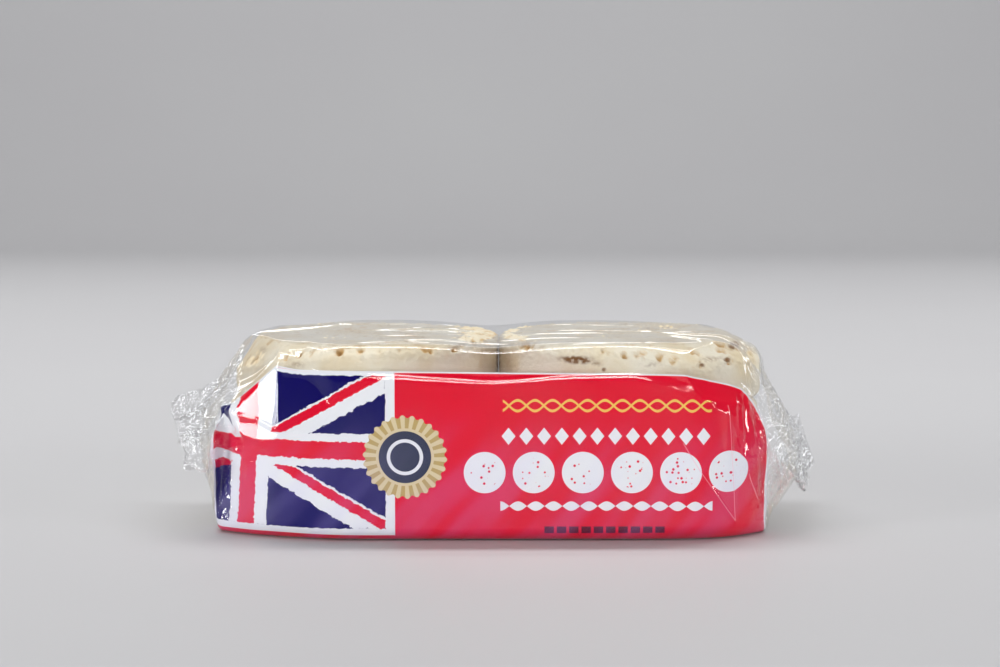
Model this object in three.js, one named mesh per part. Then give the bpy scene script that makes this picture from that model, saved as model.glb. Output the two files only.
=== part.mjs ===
import * as THREE from 'three';

// A flow-wrapped pack of six crumpets: two stacks of three side by side in one sealed film, which is one closed
// body here. Millimetres. X runs along the pack, the printed front faces -Y, Z is up, and the origin is under
// the middle of the base.

// Driving dimensions
const CRUMPET_DIAMETER = 88;
const CRUMPET_THICKNESS = 20.5;
const LAYERS = 3;
const FILM_SLACK = 1;
const END_FILM = 23;

const HALF_BODY = CRUMPET_DIAMETER + FILM_SLACK;
const HALF_LENGTH = HALF_BODY + END_FILM;
const HALF_DEPTH = CRUMPET_DIAMETER / 2 + FILM_SLACK;
const HEIGHT = LAYERS * CRUMPET_THICKNESS + FILM_SLACK;

// The film runs straight over the stacks as far as the shoulders. The rounds along its top are shallow at the
// middle of each stack, where the crumpets' rims hold them out, and grow away from it on both sides, where the
// crumpets fall away. The film sags a little where the stacks meet.
const SHOULDER_X = HALF_BODY - 19;
const STACK_MIDDLE_X = CRUMPET_DIAMETER / 2;
const TOP_DEPTH = 6;
const TOP_DEPTH_BETWEEN_STACKS = 9;
const TOP_HEIGHT = 12;
const TOP_ROUND_AT_SHOULDER = 17;
const BASE_ROUND = 4;
const BASE_ROUND_AT_SHOULDER = 6;
const SAG = 1.2;
const SAG_HALF_WIDTH = 12;

// From a shoulder the film runs level to the stacks' rounded ends, bends there and comes taut and straight to the
// fin's root. Over the top it reaches out furthest in the middle of the depth, where the crumpets do, and along
// the base it reaches out alike all over. A bend is eased over its length on either side.
//
// Seen from above, the front and back wrap the round stacks: from turn.start they come in, by turn.depth at the
// stack's end. The crimped fin has a root and a cut edge that run from front to back. Beyond is a line's distance
// past the stacks, and height is its share of the pack's height.
const FIN_THICKNESS = 2;
const FIN_HALF_DEPTH = HALF_DEPTH - 5;
const FIN_SIDE_ROUND = 12;
const FIN_WAVE = 1.3;
const LEFT_END = {
  side: -1,
  turn: { start: 40, depth: 17, power: 2.2 },
  topCornerX: HALF_BODY - 9,
  topBend: 5,
  root: { front: { beyond: 3, height: 0.4 }, back: { beyond: 11, height: 0.64 } },
  cutEdge: { front: { beyond: 8.5, height: 0.4 }, back: { beyond: END_FILM, height: 0.53 } },
};
const RIGHT_END = {
  side: 1,
  turn: { start: 62, depth: 15, power: 2 },
  topCornerX: HALF_BODY - 3,
  topBend: 12,
  root: { front: { beyond: 7, height: 0.3 }, back: { beyond: 18, height: 0.42 } },
  cutEdge: { front: { beyond: 10, height: 0.22 }, back: { beyond: END_FILM, height: 0.22 } },
};
const BASE_CORNER_X = HALF_BODY - 1.5;
const BASE_BEND = 3;

// The base's rounds stay narrow for the first part of an end. Past it the front and back tuck in, and pleats
// cross the film.
const LATE_START = 0.4;
const TUCK = 6;
const PLEAT_DEPTH = 1.4;
const PLEATS = 5;

// Mesh density
const BODY_STEPS = 14;
const END_STEPS = 12;
const FIN_STEPS = 2;
const ROUND_STEPS = 5;
const FLAT_STEPS = 12;
const HALF_WALL_STEPS = 2;

const mix = (a, b, t) => a + (b - a) * t;
const ease = (t) => t * t * (3 - 2 * t);
const clamp01 = (t) => Math.min(Math.max(t, 0), 1);

// The point at share t of the way from start by a corner to end, with the corner eased over a length of bend.
function bentLine(start, corner, end, bend, t) {
  const before = Math.hypot(corner.x - start.x, corner.z - start.z);
  const after = Math.hypot(end.x - corner.x, end.z - corner.z);
  const eased = Math.min(bend, before);
  const ramp = (d) => (Math.abs(d) < eased ? (d + eased) ** 2 / (4 * eased) : Math.max(d, 0));
  const past = t * (before + after) - before;
  const left = before > 0 ? ramp(-past) / before : 0;
  const gone = ramp(past) / after;
  return {
    x: corner.x + (start.x - corner.x) * left + (end.x - corner.x) * gone,
    z: corner.z + (start.z - corner.z) * left + (end.z - corner.z) * gone,
  };
}

// One section's loop of points, from the middle of the front wall down, under the base, up the back and over the
// top. Its upper half mirrors the lower one. Each point holds its place on the flat parts, flatY and wall, and
// its place on a corner's arc, arcY and arcZ.
function sectionLoop() {
  const lower = [];
  for (let i = 0; i < HALF_WALL_STEPS; i += 1) {
    lower.push({ flatY: -1, arcY: -1, arcZ: 0, wall: 0.5 * (1 - i / HALF_WALL_STEPS) });
  }
  for (let i = 0; i < ROUND_STEPS; i += 1) {
    const angle = (Math.PI / 2) * (i / ROUND_STEPS);
    lower.push({ flatY: -1, arcY: -Math.cos(angle), arcZ: -Math.sin(angle), wall: 0 });
  }
  for (let i = 0; i < FLAT_STEPS / 2; i += 1) {
    lower.push({ flatY: mix(-1, 1, i / FLAT_STEPS), arcY: 0, arcZ: -1, wall: 0 });
  }
  const baseMiddle = { flatY: 0, arcY: 0, arcZ: -1, wall: 0 };
  const toBack = (point) => ({ ...point, flatY: -point.flatY, arcY: -point.arcY });
  const toTop = (point) => ({ ...point, arcZ: -point.arcZ, wall: 1 - point.wall });
  const base = [...lower, baseMiddle, ...lower.map(toBack).reverse()];
  return [...base, ...base.slice(1, -1).map(toTop).reverse()];
}

// A loop point in a section from z 0 to HEIGHT, with elliptic corners of the given depth and height.
function placeInSection(point, { halfDepth, topDepth, topHeight, baseDepth, baseHeight }) {
  const cornerDepth = mix(baseDepth, topDepth, point.wall);
  const cornerHeight = point.arcZ > 0 ? topHeight : baseHeight;
  return {
    y: point.flatY * (halfDepth - cornerDepth) + point.arcY * cornerDepth,
    z: mix(baseHeight, HEIGHT - topHeight, point.wall) + point.arcZ * cornerHeight,
  };
}

function bodySection(x) {
  const past = Math.abs(x) - STACK_MIDDLE_X;
  const inwards = ease(clamp01(-past / STACK_MIDDLE_X));
  const outwards = ease(clamp01(past / (SHOULDER_X - STACK_MIDDLE_X)));
  const topDepth = mix(TOP_DEPTH, TOP_DEPTH_BETWEEN_STACKS, inwards);
  const baseRound = mix(BASE_ROUND, BASE_ROUND_AT_SHOULDER, outwards);
  return {
    halfDepth: HALF_DEPTH,
    topDepth: mix(topDepth, TOP_ROUND_AT_SHOULDER, outwards),
    topHeight: mix(TOP_HEIGHT, TOP_ROUND_AT_SHOULDER, outwards),
    baseDepth: baseRound,
    baseHeight: baseRound,
  };
}

// How much narrower the pack is, seen from above, at a distance x from its middle towards an end.
function turnedShare(end, x) {
  const { start, depth, power } = end.turn;
  const past = clamp01((x - start) / (HALF_BODY - start));
  return 1 - (depth / HALF_DEPTH) * past ** power;
}

function bodyPoint(point, x) {
  const { y, z } = placeInSection(point, bodySection(x));
  const sag = SAG * Math.exp(-((x / SAG_HALF_WIDTH) ** 2)) * (z / HEIGHT) ** 2;
  return [x, y * turnedShare(x < 0 ? LEFT_END : RIGHT_END, Math.abs(x)), z - sag];
}

// The share of the fin's depth that y lies at, from 0 at the front to 1 at the back.
const finShare = (y) => clamp01((1 + y / FIN_HALF_DEPTH) / 2);

// A fin's line, its root or its cut edge, at a share of the depth.
function finLine(end, line, share) {
  const wave = FIN_WAVE * Math.sin(2 * Math.PI * share + end.side);
  return {
    x: HALF_BODY + mix(line.front.beyond, line.back.beyond, share),
    z: HEIGHT * mix(line.front.height, line.back.height, share) + wave,
  };
}

// A point of an end, w = 0 at the shoulder and 1 at the fin's root.
function endPoint(point, end, w) {
  const shoulder = bodySection(SHOULDER_X);
  const closing = ease(w);
  const late = clamp01((w - LATE_START) / (1 - LATE_START));
  const { y, z } = placeInSection(point, {
    halfDepth: mix(HALF_DEPTH, FIN_HALF_DEPTH, closing),
    topDepth: mix(shoulder.topDepth, FIN_SIDE_ROUND, closing),
    topHeight: mix(shoulder.topHeight, HEIGHT / 2, closing),
    baseDepth: mix(shoulder.baseDepth, FIN_SIDE_ROUND, ease(late)),
    baseHeight: mix(shoulder.baseHeight, HEIGHT / 2, ease(late)),
  });
  const lift = z / HEIGHT;
  const share = finShare(y);
  const root = finLine(end, end.root, share);
  const rimX = mix(end.topCornerX, SHOULDER_X, (y / HALF_DEPTH) ** 2);
  const top = bentLine(
    { x: SHOULDER_X, z: HEIGHT },
    { x: rimX, z: HEIGHT },
    { x: root.x, z: root.z + FIN_THICKNESS / 2 },
    end.topBend,
    w,
  );
  const base = bentLine(
    { x: SHOULDER_X, z: 0 },
    { x: BASE_CORNER_X, z: 0 },
    { x: root.x, z: root.z - FIN_THICKNESS / 2 },
    BASE_BEND,
    w,
  );
  const halfway = Math.sin(Math.PI * late);
  const pleat = PLEAT_DEPTH * halfway * Math.cos(2 * Math.PI * PLEATS * share + end.side);
  const tuck = (TUCK / HALF_DEPTH) * halfway * Math.sin(Math.PI * lift);
  const x = mix(base.x, top.x + pleat, lift);
  const turned = mix(turnedShare(end, x), 1, ease(late));
  return [end.side * x, y * turned * (1 - tuck), mix(base.z, top.z, lift)];
}

// A point of a fin, t = 0 at its root and 1 at its cut edge.
function finPoint(point, end, t) {
  const [x, y, z] = endPoint(point, end, 1);
  const root = finLine(end, end.root, finShare(y));
  const cutEdge = finLine(end, end.cutEdge, finShare(y));
  return [x + end.side * (cutEdge.x - root.x) * t, y, z + (cutEdge.z - root.z) * t];
}

// Every section's loop in order, from the left fin's cut edge to the right one's.
function packRings(loop) {
  const endRings = (end) => {
    const rings = [];
    for (let i = 1; i <= END_STEPS; i += 1) {
      rings.push(loop.map((point) => endPoint(point, end, i / END_STEPS)));
    }
    for (let i = 1; i <= FIN_STEPS; i += 1) {
      rings.push(loop.map((point) => finPoint(point, end, i / FIN_STEPS)));
    }
    return rings;
  };
  const bodyRings = [];
  for (let i = 0; i <= BODY_STEPS; i += 1) {
    const x = mix(-SHOULDER_X, SHOULDER_X, i / BODY_STEPS);
    bodyRings.push(loop.map((point) => bodyPoint(point, x)));
  }
  return [...endRings(LEFT_END).reverse(), ...bodyRings, ...endRings(RIGHT_END)];
}

// The two triangles between lower points i and i + 1 of a loop and the points above them, or the one triangle
// where the loop's two halves meet.
function capTriangles(count, i) {
  const above = (count - i) % count;
  const nextAbove = count - i - 1;
  if (i === 0) return [[i, i + 1, nextAbove]];
  if (i + 1 === nextAbove) return [[i, i + 1, above]];
  return [[i, i + 1, nextAbove], [i, nextAbove, above]];
}

// A closed surface over the rings, with both of its ends shut.
function closedSurface(rings) {
  const count = rings[0].length;
  const lastRing = (rings.length - 1) * count;
  const indices = [];
  for (let r = 0; r + 1 < rings.length; r += 1) {
    for (let i = 0; i < count; i += 1) {
      const a = r * count + i;
      const b = r * count + ((i + 1) % count);
      indices.push(a, b, a + count, b, b + count, a + count);
    }
  }
  for (let i = 0; i < count / 2; i += 1) {
    for (const [a, b, c] of capTriangles(count, i)) {
      indices.push(c, b, a, lastRing + a, lastRing + b, lastRing + c);
    }
  }
  const surface = new THREE.BufferGeometry();
  surface.setAttribute('position', new THREE.Float32BufferAttribute(rings.flat(2), 3));
  surface.setIndex(indices);
  surface.computeVertexNormals();
  return surface;
}

const filmOverCrumpets = new THREE.MeshStandardMaterial({ color: 0xe8dfc9, roughness: 0.2, metalness: 0 });
const bag = new THREE.Mesh(closedSurface(packRings(sectionLoop())), filmOverCrumpets);
bag.name = 'bag';

const pack = new THREE.Group();
pack.add(bag);

export default pack;
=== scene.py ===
"""A sealed film pack of six crumpets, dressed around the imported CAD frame: clear wrinkled film, a printed
front panel, two stacks of three crumpets, a plain floor, soft studio lights and the camera.

Lengths are in millimetres until a mesh is made. In the studio, and where a material reads the object's place,
they are in metres. X runs along the pack, the printed front faces -Y and Z is up.
"""
import math

import bpy
import numpy as np
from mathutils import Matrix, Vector


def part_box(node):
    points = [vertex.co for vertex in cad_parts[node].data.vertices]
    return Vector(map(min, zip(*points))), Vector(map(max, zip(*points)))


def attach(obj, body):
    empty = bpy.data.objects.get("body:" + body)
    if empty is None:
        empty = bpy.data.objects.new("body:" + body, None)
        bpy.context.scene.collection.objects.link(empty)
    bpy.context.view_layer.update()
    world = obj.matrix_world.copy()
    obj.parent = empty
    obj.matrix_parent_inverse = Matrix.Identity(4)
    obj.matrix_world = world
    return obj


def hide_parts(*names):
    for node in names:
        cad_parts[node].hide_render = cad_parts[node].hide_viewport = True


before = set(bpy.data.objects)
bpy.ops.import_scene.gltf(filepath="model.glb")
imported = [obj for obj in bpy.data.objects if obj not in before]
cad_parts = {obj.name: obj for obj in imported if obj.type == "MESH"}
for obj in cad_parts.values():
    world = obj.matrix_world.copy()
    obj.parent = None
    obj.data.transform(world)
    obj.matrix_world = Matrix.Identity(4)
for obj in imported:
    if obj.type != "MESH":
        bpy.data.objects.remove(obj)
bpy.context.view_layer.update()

MM = 0.001

# The pack's own sizes come from the CAD box, which has its middle at x = y = 0 and its foot at z = 0.
CAD_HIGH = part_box("bag")[1]
HALF_LENGTH = CAD_HIGH[0] / MM
HALF_DEPTH = CAD_HIGH[1] / MM
HEIGHT = CAD_HIGH[2] / MM
FILM_SLACK = 1.0
CRUMPET_RADIUS = HALF_DEPTH - FILM_SLACK
CRUMPET_THICKNESS = (HEIGHT - FILM_SLACK) / 3
HALF_BODY = 2 * CRUMPET_RADIUS + FILM_SLACK
END_FILM = HALF_LENGTH - HALF_BODY

# How fine the meshes are: 1 in the full scene.
FINENESS = 1.0


# ---- small helpers


def mix(a, b, t):
    return a + (b - a) * t


def ease(t):
    t = np.clip(t, 0.0, 1.0)
    return t * t * (3 - 2 * t)


def fade_in(place, start, length):
    """Goes smoothly from 0 at the start to 1 a length further on."""
    return ease((place - start) / length)


def grid_faces(rows, cols, closed):
    """Quads over a grid of points, rows by cols. closed joins the last column to the first."""
    first = np.arange(rows - 1)[:, None] * cols
    here = np.arange(cols if closed else cols - 1)[None, :]
    after = (here + 1) % cols
    corners = (first + here, first + after, first + cols + after, first + cols + here)
    return np.stack([c.ravel() for c in corners], axis=1)


def add_object(name, data):
    made = bpy.data.objects.new(name, data)
    bpy.context.scene.collection.objects.link(made)
    return made


def add_surface(name, grid, closed, material):
    """A smooth mesh object over a grid of points in metres."""
    mesh = bpy.data.meshes.new(name)
    faces = grid_faces(*grid.shape[:2], closed)
    mesh.from_pydata(grid.reshape(-1, 3).tolist(), [], faces.tolist())
    mesh.validate()
    mesh.shade_smooth()
    mesh.materials.append(material)
    return add_object(name, mesh)


def make_piece(name, grid, closed, material):
    """A surface over a grid of points in millimetres, riding on the pack's one body. The film and what it
    holds stand together for the one solid."""
    piece = add_surface(name, grid * MM, closed, material)
    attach(piece, "root")
    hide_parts("bag")
    return piece


def set_attribute(piece, name, values):
    attribute = piece.data.attributes.new(name, "FLOAT", "POINT")
    attribute.data.foreach_set("value", np.asarray(values, dtype=np.float32).ravel())


def linear(red, green, blue):
    """A colour given as it looks on a screen, 0 to 255, as a linear one, by the sRGB curve."""
    parts = []
    for value in (red, green, blue):
        share = value / 255
        parts.append(share / 12.92 if share <= 0.04045 else ((share + 0.055) / 1.055) ** 2.4)
    return (*parts, 1.0)


# ---- shader helpers

# The UV map that holds the flat film, the millimetres to one of its units, and half of a painted edge's blur.
FLAT_MAP = "flat"
FLAT_SCALE = 100.0
EDGE_BLUR = 0.06


class Shader:
    """Adds nodes to one material and links them, so that a material reads as a formula."""

    def __init__(self, name):
        self.material = bpy.data.materials.new(name)
        self.material.use_nodes = True
        self.tree = self.material.node_tree
        self.surface = self.tree.nodes["Principled BSDF"]
        self.output = self.tree.nodes["Material Output"]

    def node(self, kind, inputs=(), **settings):
        made = self.tree.nodes.new("ShaderNode" + kind)
        for key, value in settings.items():
            setattr(made, key, value)
        for key, value in dict(inputs).items():
            self.put(made.inputs[key], value)
        return made

    def put(self, socket, value):
        if isinstance(value, bpy.types.NodeSocket):
            self.tree.links.new(value, socket)
        else:
            socket.default_value = value

    def set(self, **values):
        """Sets sockets of the Principled node, with _ for a space."""
        for key, value in values.items():
            self.put(self.surface.inputs[key.replace("_", " ")], value)

    def math(self, operation, a, b=0.0, clamp=False):
        made = self.node("Math", {0: a, 1: b}, operation=operation, use_clamp=clamp)
        return made.outputs[0]

    def plus(self, a, b, clamp=False):
        return self.math("ADD", a, b, clamp)

    def minus(self, a, b):
        return self.math("SUBTRACT", a, b)

    def times(self, a, b):
        return self.math("MULTIPLY", a, b)

    def size(self, a):
        return self.math("ABSOLUTE", a)

    def step(self, value, low, high, start=0.0, end=1.0):
        """Goes smoothly from start to end as value goes from low to high."""
        inputs = {"Value": value, 1: low, 2: high, 3: start, 4: end}
        made = self.node("MapRange", inputs, interpolation_type="SMOOTHSTEP")
        return made.outputs["Result"]

    def blend(self, share, a, b):
        made = self.node("Mix", {0: share}, data_type="RGBA")
        self.put(made.inputs[6], a)
        self.put(made.inputs[7], b)
        return made.outputs[2]

    def noise(self, place, scale, detail=3.0, roughness=0.55):
        inputs = {"Vector": place, "Scale": scale, "Detail": detail, "Roughness": roughness}
        return self.node("TexNoise", inputs).outputs["Fac"]

    def attribute(self, name):
        return self.node("Attribute", attribute_name=name).outputs["Fac"]

    def object_place(self):
        return self.node("TexCoord").outputs["Object"]

    def bump(self, height, distance, strength=1.0):
        inputs = {"Height": height, "Distance": distance, "Strength": strength}
        self.put(self.surface.inputs["Normal"], self.node("Bump", inputs).outputs[0])


class Print(Shader):
    """A shader that paints flat shapes one over another. u and v are millimetres on the flat film. A shape
    is its distance, which is under zero inside it."""

    def __init__(self, name, ground):
        super().__init__(name)
        flat = self.node("UVMap", uv_map=FLAT_MAP).outputs[0]
        scaled = self.node("VectorMath", {0: flat, 3: FLAT_SCALE}, operation="SCALE")
        self.place = scaled.outputs[0]
        self.u, self.v, _ = self.node("SeparateXYZ", {0: self.place}).outputs
        self.colour = ground

    def paint(self, distance, colour, share=1.0):
        mask = self.step(distance, EDGE_BLUR, -EDGE_BLUR, 0.0, share)
        self.colour = self.blend(mask, self.colour, colour)

    def both(self, *distances):
        """Where all of the shapes are."""
        whole = distances[0]
        for distance in distances[1:]:
            whole = self.math("MAXIMUM", whole, distance)
        return whole

    def band(self, value, low, high):
        away = self.size(self.minus(value, (low + high) / 2))
        return self.minus(away, (high - low) / 2)

    def box(self, left, right, foot, top):
        return self.math("MAXIMUM", self.band(self.u, left, right), self.band(self.v, foot, top))

    def disc(self, centre_u, centre_v, radius):
        inputs = {0: self.place, 1: (centre_u, centre_v, 0.0)}
        reach = self.node("VectorMath", inputs, operation="DISTANCE").outputs["Value"]
        return self.minus(reach, radius)

    def stroke(self, start, end, half_width, slide=0.0):
        """A straight stroke from start to end, moved sideways by slide."""
        way = np.subtract(end, start)
        length = math.hypot(*way)
        along_u, along_v = way / length
        middle_u, middle_v = np.add(start, end) / 2
        u = self.minus(self.u, float(middle_u - along_v * slide))
        v = self.minus(self.v, float(middle_v + along_u * slide))
        along = self.weighted(u, along_u, v, along_v)
        across = self.weighted(v, along_u, u, -along_v)
        side = self.minus(self.size(across), half_width)
        tip = self.minus(self.size(along), length / 2)
        return self.math("MAXIMUM", side, tip)

    def weighted(self, a, share_a, b, share_b):
        return self.plus(self.times(a, float(share_a)), self.times(b, float(share_b)))

    def cell(self, value, start, pitch):
        """The place within one of a row of equal cells, from its middle."""
        shifted = self.minus(value, start)
        return self.minus(self.math("FLOORED_MODULO", shifted, pitch), pitch / 2)


# ---- the film's form

# The same named sizes as the CAD bag has, but for the base's corners, which lie 1.5 mm further out here, and
# sharper, and for the rim's lift.
SHOULDER_X = HALF_BODY - 19
STACK_MIDDLE_X = CRUMPET_RADIUS
TOP_DEPTH = 6.0
TOP_DEPTH_BETWEEN = 9.0
TOP_HEIGHT = 12.0
TOP_ROUND_AT_SHOULDER = 17.0
BASE_ROUND = 4.0
BASE_ROUND_AT_SHOULDER = 6.0
SAG = 1.2
SAG_HALF_WIDTH = 12.0
FILM_GAP_AT_FIN = 0.9
FIN_HALF_DEPTH = HALF_DEPTH - 5
FIN_SIDE_ROUND = 12.0
FIN_WAVE = 1.3
FIN_CLOSING = 0.85
LEFT_END = {
    "side": -1,
    "turn": (40.0, 17.0, 2.2),
    "top_corner_x": HALF_BODY - 9,
    "top_bend": 5.0,
    "root": {"front": (3.0, 0.40), "back": (11.0, 0.64)},
    "cut_edge": {"front": (8.5, 0.40), "back": (END_FILM, 0.53)},
}
RIGHT_END = {
    "side": 1,
    "turn": (62.0, 15.0, 2.0),
    "top_corner_x": HALF_BODY - 3,
    "top_bend": 12.0,
    "root": {"front": (7.0, 0.30), "back": (18.0, 0.42)},
    "cut_edge": {"front": (10.0, 0.22), "back": (END_FILM, 0.22)},
}
BASE_CORNER_X = HALF_BODY
BASE_BEND = 2.0
RIM_LIFT = 0.8
RIM_START = 0.86
RIM_REACH = 9.0
LATE_START = 0.4
TUCK = 6.0
PLEAT_DEPTH = 1.4
PLEATS = 5

# Rings along the pack.
BODY_STEPS = int(180 * FINENESS)
END_STEPS = int(90 * FINENESS)
FIN_STEPS = 12

# Steps round the loop, finest where the front leans over to the top.
LOWER_WALL_STEPS = int(36 * FINENESS)
BASE_ROUND_STEPS = 6
BASE_STEPS = 20
BACK_STEPS = int(36 * FINENESS)
BACK_ROUND_STEPS = int(10 * FINENESS)
TOP_STEPS = int(64 * FINENESS)
TOP_ROUND_STEPS = int(28 * FINENESS)
UPPER_WALL_STEPS = int(44 * FINENESS)


def section_loop():
    """One section's loop from the middle of the front wall down, under the base, up the back and over the
    top, as four arrays: the place on the flats, the place on a corner's arc across and up, and how far up the
    wall it is."""

    def line(steps, start, end):
        return mix(np.array(start), np.array(end), np.arange(steps)[:, None] / steps)

    def arc(steps, side, start, end, wall):
        angle = mix(start, end, np.arange(steps) / steps) * math.pi / 2
        return np.stack([0 * angle + side, np.cos(angle), np.sin(angle), 0 * angle + wall], axis=1)

    stretches = [
        line(LOWER_WALL_STEPS, (-1.0, -1.0, 0.0, 0.5), (-1.0, -1.0, 0.0, 0.0)),
        arc(BASE_ROUND_STEPS, -1, 2, 3, 0.0),
        line(BASE_STEPS, (-1.0, 0.0, -1.0, 0.0), (1.0, 0.0, -1.0, 0.0)),
        arc(BASE_ROUND_STEPS, 1, -1, 0, 0.0),
        line(BACK_STEPS, (1.0, 1.0, 0.0, 0.0), (1.0, 1.0, 0.0, 1.0)),
        arc(BACK_ROUND_STEPS, 1, 0, 1, 1.0),
        line(TOP_STEPS, (1.0, 0.0, 1.0, 1.0), (-1.0, 0.0, 1.0, 1.0)),
        arc(TOP_ROUND_STEPS, -1, 1, 2, 1.0),
        line(UPPER_WALL_STEPS, (-1.0, -1.0, 0.0, 1.0), (-1.0, -1.0, 0.0, 0.5)),
    ]
    return np.concatenate(stretches).T


LOOP = section_loop()
LOOP_COUNT = LOOP.shape[1]
BASE_MIDDLE_STEP = LOWER_WALL_STEPS + BASE_ROUND_STEPS + BASE_STEPS // 2
FOOT_STEP = LOWER_WALL_STEPS + BASE_ROUND_STEPS // 2
TOP_MIDDLE_STEP = -UPPER_WALL_STEPS - TOP_ROUND_STEPS - TOP_STEPS // 2


def place_in_section(half_depth, top_depth, top_height, base_depth, base_height):
    flat_y, arc_y, arc_z, wall = LOOP
    corner_depth = mix(base_depth, top_depth, wall)
    corner_height = np.where(arc_z > 0, top_height, base_height)
    y = flat_y * (half_depth - corner_depth) + arc_y * corner_depth
    z = mix(base_height, HEIGHT - top_height, wall) + arc_z * corner_height
    return y, z


def body_rounds(x):
    """Depth and height of the top's round, and the base's round, across the body at x."""
    inwards = float(ease((STACK_MIDDLE_X - abs(x)) / STACK_MIDDLE_X))
    outwards = float(ease((abs(x) - STACK_MIDDLE_X) / (SHOULDER_X - STACK_MIDDLE_X)))
    top_depth = TOP_DEPTH + inwards * (TOP_DEPTH_BETWEEN - TOP_DEPTH)
    top_depth += outwards * (TOP_ROUND_AT_SHOULDER - TOP_DEPTH)
    top_height = mix(TOP_HEIGHT, TOP_ROUND_AT_SHOULDER, outwards)
    return top_depth, top_height, mix(BASE_ROUND, BASE_ROUND_AT_SHOULDER, outwards)


def turned_share(end, x):
    """How much narrower the pack is, seen from above, at a distance x from its middle towards an end."""
    start, depth, power = end["turn"]
    past = np.clip((x - start) / (HALF_BODY - start), 0.0, 1.0)
    return 1 - depth / HALF_DEPTH * past**power


def body_ring(x):
    top_depth, top_height, base_round = body_rounds(x)
    y, z = place_in_section(HALF_DEPTH, top_depth, top_height, base_round, base_round)
    sag = SAG * math.exp(-((x / SAG_HALF_WIDTH) ** 2)) * (z / HEIGHT) ** 2
    turned = turned_share(LEFT_END if x < 0 else RIGHT_END, abs(x))
    return np.stack([np.full(LOOP_COUNT, x), y * turned, z - sag], axis=1)


def fin_share(y):
    return np.clip((1 + y / FIN_HALF_DEPTH) / 2, 0.0, 1.0)


def fin_line(end, line, share):
    (front_beyond, front_height), (back_beyond, back_height) = end[line]["front"], end[line]["back"]
    wave = FIN_WAVE * np.sin(2 * math.pi * share + end["side"])
    x = HALF_BODY + mix(front_beyond, back_beyond, share)
    return x, HEIGHT * mix(front_height, back_height, share) + wave


def bent_line(corner_x, level, root_x, root_z, bend, t):
    """Points at share t of the way from the shoulder by a corner at the same level to the root, with the
    corner eased over a length of bend."""
    before = corner_x - SHOULDER_X
    after = np.hypot(root_x - corner_x, root_z - level)
    eased = np.maximum(np.minimum(bend, before), 1e-6)
    past = t * (before + after) - before

    def ramp(d):
        return np.where(np.abs(d) < eased, (d + eased) ** 2 / (4 * eased), np.maximum(d, 0.0))

    gone = ramp(past) / after
    x = corner_x - ramp(-past) + (root_x - corner_x) * gone
    return x, level + (root_z - level) * gone


def end_ring(end, w):
    """A ring of an end, w = 0 at the shoulder and 1 at the fin's root."""
    top_depth, top_height, base_round = body_rounds(SHOULDER_X)
    closing = float(ease(w))
    late = min(max((w - LATE_START) / (1 - LATE_START), 0.0), 1.0)
    base_closing = float(ease(late))
    y, z = place_in_section(
        mix(HALF_DEPTH, FIN_HALF_DEPTH, closing),
        mix(top_depth, FIN_SIDE_ROUND, closing),
        mix(top_height, HEIGHT / 2, closing),
        mix(base_round, FIN_SIDE_ROUND, base_closing),
        mix(base_round, HEIGHT / 2, base_closing),
    )
    lift = z / HEIGHT
    share = fin_share(y)
    root_x, root_z = fin_line(end, "root", share)
    rim_x = mix(end["top_corner_x"], SHOULDER_X, (y / HALF_DEPTH) ** 2)
    top_x, top_z = bent_line(rim_x, HEIGHT, root_x, root_z + FILM_GAP_AT_FIN / 2, end["top_bend"], w)
    base_x, base_z = bent_line(BASE_CORNER_X, 0.0, root_x, root_z - FILM_GAP_AT_FIN / 2, BASE_BEND, w)
    halfway = math.sin(math.pi * late)
    pleat = PLEAT_DEPTH * halfway * np.cos(2 * math.pi * PLEATS * share + end["side"])
    tuck = TUCK / HALF_DEPTH * halfway * np.sin(math.pi * lift)
    x = mix(base_x, top_x + pleat, lift)
    turned = mix(turned_share(end, x), 1.0, base_closing)
    return np.stack([end["side"] * x, y * turned * (1 - tuck), mix(base_z, top_z, lift)], axis=1)


def fin_ring(end, t):
    """A ring of a fin, t = 0 at its root and 1 at its cut edge, where its two layers all but meet."""
    x, y, z = end_ring(end, 1.0).T
    root_x, root_z = fin_line(end, "root", fin_share(y))
    edge_x, edge_z = fin_line(end, "cut_edge", fin_share(y))
    apart = (z - root_z) * (1 - FIN_CLOSING * t)
    return np.stack([x + end["side"] * (edge_x - root_x) * t, y, mix(root_z, edge_z, t) + apart], axis=1)


def film_base_form():
    """The smooth film as a grid of points, rings by loop points."""

    def end_rings(end):
        rings = [end_ring(end, i / END_STEPS) for i in range(1, END_STEPS + 1)]
        return rings + [fin_ring(end, i / FIN_STEPS) for i in range(1, FIN_STEPS + 1)]

    body = [body_ring(mix(-SHOULDER_X, SHOULDER_X, i / BODY_STEPS)) for i in range(BODY_STEPS + 1)]
    return lift_rim(np.stack(end_rings(LEFT_END)[::-1] + body + end_rings(RIGHT_END)))


def lift_rim(form):
    """The form with the rim of its base a little off the floor at the front and the back."""
    share = np.abs(form[..., 1]) / np.abs(form[..., 1]).max(axis=1, keepdims=True)
    rim = fade_in(share, RIM_START, 1 - RIM_START) * (1 - ease(form[..., 2] / RIM_REACH))
    form[..., 2] += RIM_LIFT * rim
    return form


def ring_reaches():
    """Each ring's reach into its end: 0 on the body, 1 at a fin's root and 2 at its cut edge."""
    closing = [i / END_STEPS for i in range(1, END_STEPS + 1)]
    end = closing + [1 + i / FIN_STEPS for i in range(1, FIN_STEPS + 1)]
    return np.array(end[::-1] + [0.0] * (BODY_STEPS + 1) + end)[:, None]


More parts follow.
